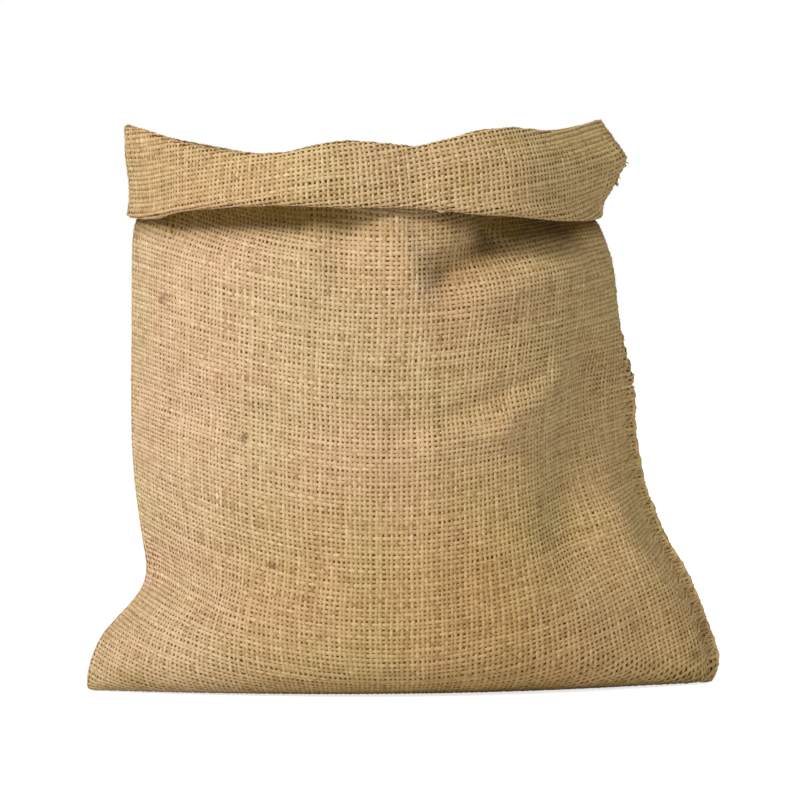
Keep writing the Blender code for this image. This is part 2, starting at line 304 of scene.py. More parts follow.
# Warp yarns stand about 2.6 mm apart, 138 across each face, and 172 weft yarns cross
# them, the last ones not all the way, as the panel is cut a little askew. The cloth is
# worked out on a finer net that runs from the seam across the back to the left fold (1)
# and across the front to the seam again (2). Its first column is the seam's back face.
warp_count, weft_count = 276, 172
warp_pitch = 2 * flat_width / warp_count
net_step = 2  # columns of the net to each warp yarn
unrolled = np.linspace(0, 2, warp_count * net_step + 1)
net_around = np.where(unrolled < 1, 1 + unrolled, unrolled - 1)
net_around[0] = 1 + 1e-9
path = cloth_path(net_around)
wall_from, rim_from = floor_rows + foot_rows - 1, floor_rows + foot_rows + wall_rows - 1

# Up the wall the warp yarns of the middle stand upright, and only the outer ones
# follow the side edges out into the ears. Higher up, the seam lies a little way round
# the back. Below the rim the cuff is pulled askew.
steady_height, steady_share, steady_powers, lowest_steady = 172.0, 0.3, (2.0, 1.4), 10.0
seam_round_back = rows_of(
    "place by",
    *((0.0, 12), (0.2, 7), (0.45, 0), (1.0, 0), (1.6, 0), (1.8, 5), (1.93, 10), (2.0, 12)),
)
seam_goes_round = (158.0, 205.0)
askew_over, most_askew = 45.0, 1.2
cuff_askew = rows_of(
    "place by",
    *((0.0, 17), (0.15, 11), (0.35, 4), (0.5, 0), (1.0, 4), (1.3, 5)),
    *((1.6, 7), (1.75, 11), (1.88, 16), (2.0, 17)),
)


def side_edges(height, front):
    """The two side edges at a height as x + iy, how far the face bulges, and its half angle."""
    level = {name: smooth(levels, height, name) for name in levels.dtype.names[1:]}
    left = level["left"] + 1j * level["left_y"]
    right = level["right"] - seam_stands_out + 1j * level["right_y"]
    middle = np.where(front, level["front"], level["back"])
    bulge = abs(middle - (left + right).imag / 2)
    return left, right, bulge, 2 * np.arctan(bulge / abs((right - left) / 2))


def drawn_to(place, height):
    """Where round the sack a warp yarn is at a height, its x, and its place across (-1 to 1)."""
    front = place > 1
    share = across(np.where(front, place - 1, 1 + place))
    left, right, _, most = side_edges(steady_height + 0 * height, front)
    t = np.sin(most * (2 * share - 1)) / np.sin(most)
    x = (left + right).real / 2 + (right - left).real / 2 * t
    near_left, near_right = (
        (np.clip(side * t - steady_share, 0, 1) / (1 - steady_share)) ** power
        for side, power in zip((-1, 1), steady_powers)
    )
    here_left, here_right, bulge, here_most = side_edges(height, front)
    x = x + (here_left - left).real * near_left + (here_right - right).real * near_right
    run = here_right - here_left
    swing = run.imag / abs(run) * bulge / (1 - np.cos(here_most)) * np.where(front, 1, -1)
    reach = run.real / 2 / np.sin(here_most)
    wanted = x - (here_left + here_right).real / 2 + swing * np.cos(here_most)
    angle = np.arcsin(np.clip(wanted / np.hypot(reach, swing), -1, 1)) - np.arctan2(swing, reach)
    share = np.clip((angle / here_most + 1) / 2, 0, 1)
    return np.where(front, 1 + share, 1 - share), x, t


height = path[..., 2].clip(lowest_steady, None)
height[rim_from:] = height[rim_from]
place, x, middle_share = drawn_to(unrolled[None, :] + 0 * height, height)
below_rim = np.clip(path[rim_from, :, 2] - path[..., 2], 0, None) / askew_over
below_rim[: rim_from + rim_rows] = 0
place[:, 0], place[:, -1] = 0, 2
place = np.maximum.accumulate(place, axis=1)
gone_round = ease_between(height, *seam_goes_round)
place = place + smooth(seam_round_back, unrolled, "by") / flat_width * gone_round
place = place + smooth(cuff_askew, unrolled, "by") / flat_width * below_rim.clip(0, most_askew)
turns = np.concatenate([unrolled[:-1] - 2, unrolled, unrolled[1:] + 2])
for row in range(len(path)):
    ring = np.concatenate([path[row, :-1], path[row], path[row, 1:]])
    path[row] = np.stack([np.interp(place[row], turns, ring[:, i]) for i in range(3)], -1)
along = np.concatenate(
    [np.zeros((1, path.shape[1])), np.cumsum(np.linalg.norm(np.diff(path, axis=0), axis=2), 0)]
)

# The weft yarns sag between the side edges, since the middle of the bag stands out
# over the floor, and low down they lie a little closer. On the cuff they climb towards
# the seam, and on the back they begin to climb lower down.
sag, sag_middle, sag_reach, sag_reach_changes = 0.0019, -12.0, (300.0, 110.0), (80.0, 160.0)
closer_below, closer_by, least_up = 60.0, 6.0, 0.5
climb_starts, climb_starts_lower, climb_power = 250, 130, 1.5
cuff_climb = rows_of(
    "place by",
    *((0.0, 51), (0.1, 49), (0.2, 49), (0.3, 50), (0.4, 51.5), (0.5, 50.5), (0.6, 43.5)),
    *((0.7, 34), (0.8, 22), (0.9, 9), (1.0, 0), (1.15, 3), (1.3, 9), (1.4, 14.5), (1.5, 20)),
    *((1.6, 28), (1.7, 35), (1.8, 40), (1.9, 46), (2.0, 51)),
)
middles = (warp_count * net_step) // 4, (warp_count * net_step) * 3 // 4
taken_by_floor = [float(along[wall_from, m] - path[wall_from, m, 2]) for m in middles]
rise = path[..., 2]
reach = sag_reach[0] + (sag_reach[1] - sag_reach[0]) * ease_between(rise, *sag_reach_changes)
sagged = 2 * sag * reach**2 * (np.sqrt(1 + ((x - sag_middle) / reach) ** 2) - 1)
away = 1 - middle_share**2
up_cloth = taken_by_floor[1] + rise - sagged
up_cloth = up_cloth + (taken_by_floor[0] - taken_by_floor[1]) * (unrolled <= 1) * away
up_cloth = up_cloth - closer_by * away * np.clip(1 - rise / closer_below, 0, 1) ** 2
up_cloth = np.maximum(up_cloth, least_up * along)
foot_share = along[: wall_from + 1] / along[wall_from]
up_cloth[: wall_from + 1] = foot_share * up_cloth[wall_from]
climbs = smooth(cuff_climb, unrolled, "by") - rise[rim_from] - up_cloth[rim_from]
climbs = climbs - climbs[unrolled > 1].mean()
back_middle = np.sin(np.pi * unrolled.clip(0, 1)).clip(0, 1) ** climb_power
climb_from = climb_starts - climb_starts_lower * back_middle
climb_share = ((rise - climb_from) / (rise[rim_from] - climb_from)).clip(0, 1)
up_cloth[wall_from:] += (climbs * climb_share)[wall_from:]
up_cloth[rim_from:] = (up_cloth[rim_from] + along - along[rim_from])[rim_from:]
# The net's rows lie at even distances up the cloth, and the weft yarns 2.62 mm apart.
weft_pitch, net_rows = 2.62, 320
cut_at = weft_pitch * weft_count
net = np.empty((net_rows + 1, path.shape[1], 3))
wanted = np.linspace(0, cut_at, net_rows + 1)
for column in range(path.shape[1]):
    for axis in range(3):
        net[:, column, axis] = np.interp(wanted, up_cloth[:, column], path[:, column, axis])


def unit(v):
    """Directions made one long."""
    return v / np.maximum(np.linalg.norm(v, axis=-1, keepdims=True), 1e-9)


chance = np.random.default_rng(41)

# The side seam is sewn over and over with twine about every 9 mm. Each stitch draws the
# cloth's edge in, most where the seam stands free, and the cloth bulges between stitches.
stitch_pitch, stitch_uneven, stitch_reach, over_edge = 9.0, (0.85, 1.15), 12.0, 0.55
first_stitch, seam_sewn_to, seam_ends_short = 6.0, 0.985, 12.0
drawn_in, drawn_reach, drawn_sharp = 2.0, 4.0, 1.6
pucker, pucker_reach, pucker_slant, drawn_columns, inner_column = 0.5, 9.0, 2.6, 23, 9
draw_strength = rows_of(
    "height by", (0, 0.4), (60, 0.45), (140, 0.6), (158, 1), (192, 1), (210, 0.5), (330, 0.4)
)
seam_edge = net[:, -1].copy()
up_seam = np.linalg.norm(np.diff(seam_edge, axis=0), axis=1).cumsum()
up_seam = np.concatenate([[0.0], up_seam])
stitches_at = [first_stitch]
while stitches_at[-1] < up_seam[-1] * seam_sewn_to - seam_ends_short:
    stitches_at.append(stitches_at[-1] + stitch_pitch * chance.uniform(*stitch_uneven))
turn = 2 * np.pi * (np.interp(up_seam, stitches_at, np.arange(len(stitches_at))) - over_edge)
strength = smooth(draw_strength, seam_edge[:, 2], "by")
drawn = (drawn_in * strength * (0.5 + 0.5 * np.cos(turn)) ** drawn_sharp)[:, None]
column_step = 2 * flat_width / (net.shape[1] - 1)
net_face = unit(np.cross(np.gradient(net, axis=1), np.gradient(net, axis=0)))
on_the_front = [-1 - steps_in for steps_in in range(drawn_columns)]
on_the_back = list(range(drawn_columns))
for columns in (on_the_front, on_the_back):
    inwards = unit(net[:, columns[inner_column]] - seam_edge)
    for steps_in, column in enumerate(columns):
        d = column_step * steps_in
        raised = pucker * np.sin(turn + pucker_slant * d / stitch_pitch) * (d / pucker_reach)
        raised = raised * np.exp(1 - (d / pucker_reach) ** 2) * strength
        net[:, column] += inwards * drawn * np.exp(-((d / drawn_reach) ** 2))
        net[:, column] += net_face[:, column] * raised[:, None]

# Soft dents and swells of the cuff's front, in x and height. The right end of the cuff
# is pinched out to a corner, with the cloth sunk in below it.
cuff_dents = rows_of(
    "x height wide high out",
    *((62, 303, 17, 7, -2.2), (96, 283, 14, 9, 1.6), (-60, 284, 24, 8, 1.2)),
    *((-112, 290, 16, 9, -1.4), (8, 283, 22, 8, -1.2), (30, 299, 14, 6, 1.2)),
)
corner_pinch = rows_of("x height wide high out", (119, 297, 13, 5.5, 2.8), (119, 273, 13, 9, -1.8))
clear_of_rim = 2.0


def moved_by(dent):
    """How far one dent or swell moves each point of the net."""
    off = ((net[..., 0] - dent["x"]) / dent["wide"]) ** 2
    return dent["out"] * np.exp(-off - ((net[..., 2] - dent["height"]) / dent["high"]) ** 2)


on_front_cuff = (wanted[:, None] > up_cloth[rim_from] + clear_of_rim) & (unrolled > 1)
for dent in cuff_dents:
    net[..., 1] -= moved_by(dent) * on_front_cuff
for dent in corner_pinch:
    net[..., 0] += moved_by(dent) * (wanted[:, None] > up_cloth[rim_from])


def on_cloth(warp, weft):
    """Points of the cloth at warp and weft numbers, which may lie between yarns."""
    c = np.clip(warp * net_step, 0, net.shape[1] - 1.001)
    r = np.clip(weft / weft_count * net_rows, 0, net_rows - 0.001)
    c0, r0 = c.astype(int), r.astype(int)
    fc, fr = (c - c0)[..., None], (r - r0)[..., None]
    low = net[r0, c0] * (1 - fc) + net[r0, c0 + 1] * fc
    high = net[r0 + 1, c0] * (1 - fc) + net[r0 + 1, c0 + 1] * fc
    return low * (1 - fr) + high * fr


def wander(lines, places, reach):
    """Smooth chance along each of many yarns, with a bend about every "reach" crossings."""
    knots = chance.normal(size=(lines, int(places / reach) + 3))
    at = np.arange(places) / reach
    low = at.astype(int)
    f = at - low
    f = f * f * (3 - 2 * f)
    return knots[:, low] * (1 - f) + knots[:, low + 1] * f


# The loom leaves the spacing a little uneven: each yarn has its own place and drifts,
# and here and there two weft yarns lie apart and leave a line of larger holes.
strays, warp_bends, weft_bends, quick_bends = 0.05, 9, 12, 2.5
lines_apart, opened_by, opened_over, first_apart = 12, 0.07, 26, 6
warp_drift = strays * chance.normal(size=(warp_count, 1))
warp_drift = warp_drift + strays * wander(warp_count, weft_count, warp_bends)
weft_drift = strays * chance.normal(size=(weft_count, 1))
weft_drift = weft_drift + strays * wander(weft_count, warp_count, weft_bends)
warp_drift = warp_drift + strays * wander(warp_count, weft_count, quick_bends)
weft_drift = weft_drift + strays * wander(weft_count, warp_count, quick_bends)
apart = np.arange(first_apart, weft_count - first_apart)
apart = chance.choice(apart, lines_apart, replace=False)
opened = opened_by * ease_between(wander(lines_apart, warp_count, opened_over), -0.2, 0.8)
weft_drift[apart] += opened
weft_drift[apart - 1] -= opened
# On the front the warp yarns lie wider at the middle and closer towards the seam: each
# is so many pitches past its even place, from the left fold (0) to the seam (1).
crowding = rows_of(
    "share by",
    *((0, 0), (0.3, 0.5), (0.45, 1.5), (0.55, 2.8), (0.62, 3.0), (0.7, 2.6)),
    *((0.78, 2.0), (0.86, 1.2), (0.93, 0.6), (1, 0)),
)
# The outermost warp yarns lie close to the cloth's edges in the seam, where the twine
# holds all yarns tight together.
from_edge, held_in_seam, hidden_end = 0.15, (7, 15), 0.5
spread = (warp_count - 2 * from_edge) / (warp_count - 1)
warp_at = (np.arange(warp_count)[None, :] - (warp_count - 1) / 2) * spread
warp_at = warp_at + warp_count / 2 + warp_drift.T
warp_at = warp_at + smooth(crowding, (warp_at / warp_count * 2 - 1).clip(0, 1), "by")
weft_at = np.arange(weft_count)[:, None] + 0.5 + weft_drift
warp_at, weft_at = np.broadcast_arrays(warp_at, weft_at)
crossings = on_cloth(warp_at, weft_at)
along_weft = unit(np.gradient(crossings, axis=1))
along_warp = unit(np.gradient(crossings, axis=0))
face = unit(np.cross(along_weft, along_warp))
over = np.where((np.arange(weft_count)[:, None] + np.arange(warp_count)) % 2 == 0, 1.0, -1.0)
slant = np.linalg.norm(np.cross(along_weft, along_warp), axis=-1)
warp_gap = np.linalg.norm(np.gradient(crossings, axis=1), axis=-1) * slant
weft_gap = np.linalg.norm(np.gradient(crossings, axis=0), axis=-1) * slant
from_seam = np.minimum(np.arange(warp_count), np.arange(warp_count)[::-1]) * warp_pitch
own_column = ((np.arange(warp_count) + 0.5) * net_step).astype(int)
is_cloth = weft_at * weft_pitch < up_cloth[-1, own_column] - hidden_end
is_cuff = weft_at * weft_pitch > up_cloth[rim_from, own_column]
in_seam = (1 - ease_between(from_seam, *held_in_seam)) * ~is_cuff

# ---------------------------------------------------------------------------
# Warp yarns: single jute yarns about 1.8 mm wide that run up the sack, over its rim
# and down the cuff. They are softly twisted, hairy and uneven, thick in places.

yarn_share, yarn_thickness, weave_height = 0.715, 0.80, 0.28
yarn_width, fuller_in_seam, open_on_cuff = (1.15, 2.3), 0.25, 0.08


def srgb(colour):
    """A hex colour as linear red, green, blue and a full alpha."""
    parts = [int(colour[i : i + 2], 16) / 255 for i in (1, 3, 5)]
    return (*[p / 12.92 if p <= 0.04045 else ((p + 0.055) / 1.055) ** 2.4 for p in parts], 1)


def add(tree, kind, settings=None, **sockets):
    """Adds a node. A socket, by name or as _ and its number, is given a value or an output."""
    node = tree.nodes.new(kind)
    for name, value in (settings or {}).items():
        setattr(node, name, value)
    for name, value in sockets.items():
        key = int(name[1:]) if name[0] == "_" else name.replace("_", " ")
        if isinstance(value, bpy.types.NodeSocket):
            tree.links.new(value, node.inputs[key])
        else:
            node.inputs[key].default_value = value
    return node


def jute_piece(name, points, faces, places, marks):
    """One smooth object from points in millimetres, with each mark's value at every point."""
    mesh = bpy.data.meshes.new(name)
    mesh.from_pydata(points.reshape(-1, 3) * 0.001, [], faces)
    mesh.uv_layers.new(name="OFBake").data.foreach_set("uv", places.astype(np.float32).ravel())
    for mark, value in marks.items():
        value = value.astype(np.float32).ravel()
        mesh.attributes.new(mark, "FLOAT", "POINT").data.foreach_set("value", value)
    mesh.shade_smooth()
    made = bpy.data.objects.new(name, mesh)
    bpy.context.scene.collection.objects.link(made)
    return made


def yarn_mesh(name, centres, sideways, outwards, width, thickness, marks, kept):
    """One object of many closed yarns: each ring of a yarn is a lens of four points.

    The lens is shaded as if it were round, and a yarn ends where it is not kept."""
    strip_from, side_strip, cap_strip, crest_share, level_share = 0.06, 0.22, 0.97, 0.75, 0.7
    lines, rings = centres.shape[:2]
    w, t = (width / 2)[..., None, None], (thickness / 2)[..., None, None]
    aside = np.array([0.0, 1.0, 0.0, -1.0])[:, None] * sideways[:, :, None]
    above = np.array([1.0, 0.0, -1.0, 0.0])[:, None] * outwards[:, :, None]
    corners = centres[:, :, None] + aside * w + above * t
    ring = np.arange(lines * rings * 4).reshape(lines, rings, 4)
    side = np.roll(ring, -1, axis=2)
    # Each yarn has a strip of the map to itself, its four sides next to each other.
    u0 = (np.arange(lines)[:, None, None] + strip_from + side_strip * np.arange(4)) / lines
    v0 = (np.arange(rings - 1) / (rings - 1))[None, :, None]
    u0, v0 = np.broadcast_arrays(u0, v0)
    u1, v1 = u0 + side_strip / lines, v0 + 1 / (rings - 1)
    quads = np.stack([ring[:, :-1], ring[:, 1:], side[:, 1:], side[:, :-1]], -1)
    places = np.stack([u0, v0, u0, v1, u1, v1, u1, v0], -1)
    slope = unit(np.diff(centres, axis=1))[:, :, None]
    turned = {}
    for end, at in ((0, slice(None, -1)), (1, slice(1, None))):
        # A flank is shaded between the upper and the lower half of the lens.
        for flank, n in ((0, above[:, at]), (1, np.roll(above[:, at], -1, 2))):
            other = np.roll(aside[:, at], -1, 2) if flank else aside[:, at]
            crest = np.roll(above[:, at], -1, 2) if not flank else above[:, at]
            is_flank = abs(n).sum(-1, keepdims=True) < 0.5
            n = n + other + crest_share * np.where(is_flank, crest, 0)
            n = n - slope * (n * slope).sum(-1, keepdims=True) * level_share
            turned[end, flank] = unit(n)
    bent = np.stack([turned[0, 0], turned[1, 0], turned[1, 1], turned[0, 1]], 3)
    solid = kept[:, :-1] & kept[:, 1:]
    before = np.zeros_like(kept)
    before[:, 1:] = kept[:, :-1]
    after = np.zeros_like(kept)
    after[:, :-1] = kept[:, 1:]
    starts, stops = kept & ~before & after, kept & ~after & before
    caps = np.concatenate([ring[starts], ring[stops][:, ::-1]])
    cap_lines = np.concatenate([np.nonzero(starts)[0], np.nonzero(stops)[0]])
    cap_places = np.stack([(cap_lines + cap_strip) / lines, 0 * cap_lines], -1)
    ahead = np.concatenate([slope[:, :, 0], slope[:, -1:, 0]], 1)
    cap_facing = np.concatenate([-ahead[starts], np.roll(ahead, 1, 1)[stops]])
    faces = np.concatenate([quads[solid].reshape(-1, 4), caps])
    used, faces = np.unique(faces, return_inverse=True)
    places = np.concatenate([places[solid].reshape(-1, 2), np.repeat(cap_places, 4, 0)])
    for mark, value in marks.items():
        marks[mark] = np.broadcast_to(value, ring.shape).ravel()[used]
    made = jute_piece(name, corners.reshape(-1, 3)[used], faces.reshape(-1, 4), places, marks)
    facing = np.concatenate([bent[solid].reshape(-1, 3), np.repeat(cap_facing, 4, 0)])
    made.data.normals_split_custom_set(facing)
    made.data.update()
    return made


# Places on the sack where the jute is marked, in x and height as they stand, with
# their half widths: a fleck of bark, a green-yellow stain, and a rust-brown one.
marks_on_front = rows_of(
    "x height wide high bark olive rust",
    (-136, 217, 2.0, 1.5, 1.0, 0, 0),
    (-89, 141, 2.3, 1.4, 1.0, 0, 0),
    (-73, 71, 2.3, 1.4, 0.8, 0, 0),
    (-46, 34, 1.8, 1.6, 0.9, 0, 0),
    (-150, 9, 16, 9, 0, 0.4, 0),
    (168, 30, 4, 10, 0, 0, 0.45),
    (162, 17, 2.5, 3, 0.5, 0, 0.3),
    (157, 72, 2.5, 3, 0.8, 0, 0.3),
)
front_reaches = 12.0  # points of the front have a y below this
# Low down, close to the floor, the cloth is more olive. Painted shade darkens the crease
# under the cuff, but for the ridge at the middle of the front, and along the deep folds
# below it: two points in x and height, the half width, and how dark it is painted.
olive_low_down, olive_low_down_high = 0.35, 7.0
crease_shade_heights, unshaded_ridge_at, unshaded_ridge_wide, unshaded_ridge = (247, 262), -2, 27, 0.85
shaded_folds = (
    (42, 244, 60, 254, 9, 0.35),
    (62, 255, 88, 253, 9, 0.6),
    (22, 233, 42, 243, 8, 0.55),
)
# Painted shade makes the cloth more olive towards the seam, on the cuff and at the middle
# of the foot, and dims the foot and the left end of the cuff.
olive_shade_across, olive_shade_on_cuff, olive_shade_on_foot = (-150, 190), 0.45, 0.4
foot_up_to, foot_left, foot_right, cuff_left = (60, 150), (-125, -70), (60, 110), (-110, -20)


def marks_of(points, cuff):
    """How strongly each kind of mark shows at points of the cloth."""
    x, z = points[..., 0], points[..., 2]
    front = points[..., 1] < front_reaches
    found = {kind: 0 * x for kind in ("bark", "olive", "rust")}
    for mark in marks_on_front:
        off = ((x - mark["x"]) / mark["wide"]) ** 2 + ((z - mark["height"]) / mark["high"]) ** 2
        for kind in found:
            found[kind] = found[kind] + mark[kind] * np.exp(-off) * front
    # Low down, close to the floor, the cloth is more olive.
    found["olive"] = found["olive"] + olive_low_down * np.exp(-((z / olive_low_down_high) ** 2))
    # Painted shade in the crease under the cuff and along the deep folds, left off the ridge.
    ridge = np.exp(-(((x - unshaded_ridge_at) / unshaded_ridge_wide) ** 2)) * front
    found["painted_shade"] = ease_between(z, *crease_shade_heights) * (1 - cuff) * (1 - unshaded_ridge * ridge)
    for x_1, z_1, x_2, z_2, wide, thick in shaded_folds:
        run, off = (x_2 - x_1) + 1j * (z_2 - z_1), (x - x_1) + 1j * (z - z_1)
        share = ((off * np.conj(run)).real / abs(run) ** 2).clip(0, 1)
        near = np.exp(-((abs(off - run * share) / wide) ** 2)) * front * (1 - cuff)
        found["painted_shade"] = found["painted_shade"] + thick * near
    # Painted shade: olive at the seam side, cuff and foot, and dim on the foot and left cuff.
    foot = ease_between(x, *foot_left) * (1 - ease_between(x, *foot_right))
    foot = foot * (1 - ease_between(z, *foot_up_to))
    found["painted_olive_shade"] = np.maximum(ease_between(x, *olive_shade_across), olive_shade_on_cuff * cuff) + olive_shade_on_foot * foot
    found["dull"] = foot + cuff * (1 - ease_between(x, *cuff_left)) * front
    return {kind: value.clip(0, 1) for kind, value in found.items()}


marks_at = marks_of(crossings, is_cuff)


def yarn_marks(lines, rings, marks):
    """Uneven colour from yarn to yarn and along each, and the marks at each place."""
    by_yarn, by_stretch, stretch, by_crossing, by_dulling = 0.035, 0.06, 5, 0.07, 0.055
    tone = 0.5 + by_yarn * chance.normal(size=(lines, 1))
    tone = tone + by_stretch * wander(lines, rings, stretch)
    # Where painted shade dims the cloth, its tone is darker.
    tone = tone + by_crossing * chance.normal(size=(lines, rings)) - by_dulling * marks["dull"]
    flank = np.array([0.0, 1.0, 0.0, 1.0])
    marks = {kind: value[..., None] for kind, value in marks.items()}
    return {"tone": tone[..., None], "flank": flank} | marks


def uneven(lines, rings):
    """A yarn's width along it, as a share of the usual one, with a few thick slubs."""
    by_yarn, by_stretch, by_crossing, slub_from, slub_fuller = 0.035, 0.07, 0.06, 1.8, 0.35
    width = by_yarn * chance.normal(size=(lines, 1)) + by_stretch * wander(lines, rings, 4)
    width = np.exp(width) * np.exp(by_crossing * chance.normal(size=(lines, rings)))
    slubs = np.maximum(wander(lines, rings, 5) - slub_from, 0)
    return width * (1 + slub_fuller * slubs)


# Burlap is raw jute, spun loosely and woven undyed: dull straw gold, matt, with paler
# and browner yarns, and painted shade on the flanks where a yarn dives under another.
jute = bpy.data.materials.new("undyed_woven_jute")
jute.use_nodes = True
tree = jute.node_tree
tree.nodes.clear()
tone = add(tree, "ShaderNodeAttribute", {"attribute_name": "tone"})
flank = add(tree, "ShaderNodeAttribute", {"attribute_name": "flank"})
ramp = add(tree, "ShaderNodeValToRGB", Fac=tone.outputs["Fac"])
ramp.color_ramp.elements[0].position, ramp.color_ramp.elements[0].color = 0.15, srgb("#B29265")
ramp.color_ramp.elements[1].position, ramp.color_ramp.elements[1].color = 0.85, srgb("#FCEBD0")
ramp.color_ramp.elements.new(0.5).color = srgb("#E3CAA6")
covering, tinting = {"data_type": "RGBA"}, {"data_type": "RGBA", "blend_type": "MULTIPLY"}
# Painted shade darkens the flanks of each yarn a little.
flank_shade_share = add(
    tree, "ShaderNodeMath", {"operation": "MULTIPLY"}, _0=flank.outputs["Fac"], _1=0.15
)
layers = [(flank_shade_share.outputs[0], tinting, srgb("#9A7A4C"))]
# Bark, stain and rust cover the yarns, and painted shade tints them. Towards the seam,
# on the cuff and on the foot, painted shade makes the sack duller and more olive.
for kind, how, hue in (
    ("bark", covering, "#4A3418"),
    ("olive", covering, "#A8914E"),
    ("rust", covering, "#A06C3C"),
    ("painted_shade", tinting, "#A4985A"),
    ("painted_olive_shade", tinting, "#F4EDCA"),
):
    mark = add(tree, "ShaderNodeAttribute", {"attribute_name": kind})
    layers.append((mark.outputs["Fac"], how, srgb(hue)))
# Loose fibres give each yarn a fine streaky grain. Drawn coarser than the real 0.1 mm.
grain_width, patch_width = 2 / 3, 200 / 3
grain_scale, patch_scale = 1000 / grain_width, 1000 / patch_width
inside = add(tree, "ShaderNodeTexCoord").outputs["Object"]
grain = add(
    tree, "ShaderNodeTexNoise", Vector=inside, Scale=grain_scale, Detail=3.0, Roughness=0.7
)
grain_light = add(tree, "ShaderNodeMapRange", _0=grain.outputs[0], _1=0.3, _2=0.7, _3=0.84, _4=1.2)
# The cloth is a little greener or pinker from place to place.
patches = add(tree, "ShaderNodeTexNoise", Vector=inside, Scale=patch_scale, Detail=2.0)
patch_hue = add(tree, "ShaderNodeValToRGB", Fac=patches.outputs[0])
patch_hue.color_ramp.elements[0].position = 0.35
patch_hue.color_ramp.elements[0].color = srgb("#F9FCEF")
patch_hue.color_ramp.elements[1].position = 0.65
patch_hue.color_ramp.elements[1].color = srgb("#FFF8F5")
layers += [(1.0, tinting, grain_light.outputs[0]), (1.0, tinting, patch_hue.outputs["Color"])]
colour = ramp.outputs["Color"]
for share, how, hue in layers:
    colour = add(tree, "ShaderNodeMix", how, _0=share, _6=colour, _7=hue).outputs[2]
shader = add(
    tree,
    "ShaderNodeBsdfPrincipled",
    Base_Color=colour,
    Roughness=0.92,
    Specular_IOR_Level=0.25,
    Sheen_Weight=0.15,
    Sheen_Roughness=0.6,
)
add(tree, "ShaderNodeOutputMaterial", Surface=shader.outputs[0])


def on_sack(piece):
    """Hands a piece over as part of the sack's cloth."""
    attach(piece, "root")
    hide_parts("sack_cloth")


def lay_yarns(name, part, warps, width):
    """Makes the yarns of a part of the weave."""

    def of_part(values):
        return values[:, part].swapaxes(0, 1) if warps else values[part]

    sideways = of_part(-along_weft if warps else along_warp)
    points, outwards = of_part(crossings), of_part(face)
    crest = of_part(over if warps else -over)
    # Where the cloth is drawn together, its yarns are squeezed narrower. The turning
    # down has pulled the weave of the cuff a little open.
    gap = of_part(warp_gap if warps else weft_gap)
    fuller = 1 + fuller_in_seam * of_part(in_seam) - open_on_cuff * of_part(is_cuff)
    own_width = (yarn_share * gap * fuller).clip(*yarn_width) * width
    made = yarn_mesh(
        name,
        points + outwards * (crest * weave_height)[..., None],
        sideways,
        outwards,
        own_width,
        yarn_thickness * np.sqrt(width),
        yarn_marks(*crest.shape, {kind: of_part(value) for kind, value in marks_at.items()}),
        of_part(is_cloth),
    )
    made.data.materials.append(jute)
    on_sack(made)
    return made


warp_width = uneven(warp_count, weft_count)
halfway = warp_count // 2
for name, part in (("warp_back", slice(0, halfway)), ("warp_front", slice(halfway, warp_count))):
    lay_yarns(name, part, True, warp_width[part])

# ---------------------------------------------------------------------------
# Weft yarns: the same jute yarn, lying a little flatter and wider, each laid right
# round the sack from the seam at the back, round the left fold, to the seam in front.

weft_fuller, lower_wefts = 1.04, 82
weft_width = weft_fuller * uneven(weft_count, warp_count)
for name, part in (
    ("weft_lower", slice(0, lower_wefts)),
    ("weft_upper", slice(lower_wefts, weft_count)),
):
    lay_yarns(name, part, False, weft_width[part])

# ---------------------------------------------------------------------------
# Seam twine: a two-ply jute twine that closes the side seam with overcast stitches. It
# comes up through both layers, slants up to the edge, and goes over it to the back.

twine_thickness, twine_ply_depth, twine_twist, twine_step, twine_sides = 1.25, 0.13, 4.4, 0.45, 6
stitch_reach_on_cuff, reach_uneven, over_by, over_by_on_cuff = 6.0, (0.8, 1.12), 0.35, 0.1
# Each half of a stitch, from its hole to the edge: the share of its reach that is left,
# and how far it lies off the middle of the cloth.
stitch_route = ((1.0, -0.6), (0.9, 0.75), (0.6, 1.0), (0.3, 1.0), (0.08, 0.95))


def tubes(name, lines, radius, marks):
    """One object of round tubes, each along its own line of points.

    Radius is given for each line, point and corner of the ring."""
    count, points, sides = radius.shape
    ahead = unit(np.gradient(lines, axis=1))
    aside = unit(np.cross(ahead[:, 0], [0.3, 0.5, 0.81]))
    turn = 2 * np.pi * np.arange(sides) / sides
    rings = []
    for k in range(points):
        aside = unit(aside - ahead[:, k] * (aside * ahead[:, k]).sum(-1, keepdims=True))
        other = np.cross(ahead[:, k], aside)
        spoke = np.cos(turn)[:, None] * aside[:, None] + np.sin(turn)[:, None] * other[:, None]
        rings.append(lines[:, k, None] + spoke * radius[:, k, :, None])
    corners = np.stack(rings, 1)
    ring = np.arange(count * points * sides).reshape(count, points, sides)
    after = np.roll(ring, -1, axis=2)
    quads = np.stack([ring[:, :-1], after[:, :-1], after[:, 1:], ring[:, 1:]], -1).reshape(-1, 4)
    caps = np.concatenate([ring[:, 0, ::-1], ring[:, -1]])
    # Each tube has a strip of the map to itself, and its two ends are beside the strip.
    u, v = np.meshgrid((np.arange(sides) + 0.1) / (sides + 1), np.arange(points - 1) / points)
    u1, v1 = u + 1 / (sides + 1), v + 1 / points
    strip = np.stack([u, v, u1, v, u1, v1, u, v1], -1).reshape(1, -1, 4, 2)
    strip = np.repeat(strip, count, 0)
    strip[..., 0] = (strip[..., 0] + np.arange(count)[:, None, None]) / count
    ends = np.tile([0.999, 0.999], (caps.size, 1))
    places = np.concatenate([strip.reshape(-1, 2), ends])
    marks = {mark: np.broadcast_to(value, ring.shape) for mark, value in marks.items()}
    return jute_piece(name, corners, quads.tolist() + caps.tolist(), places, marks)


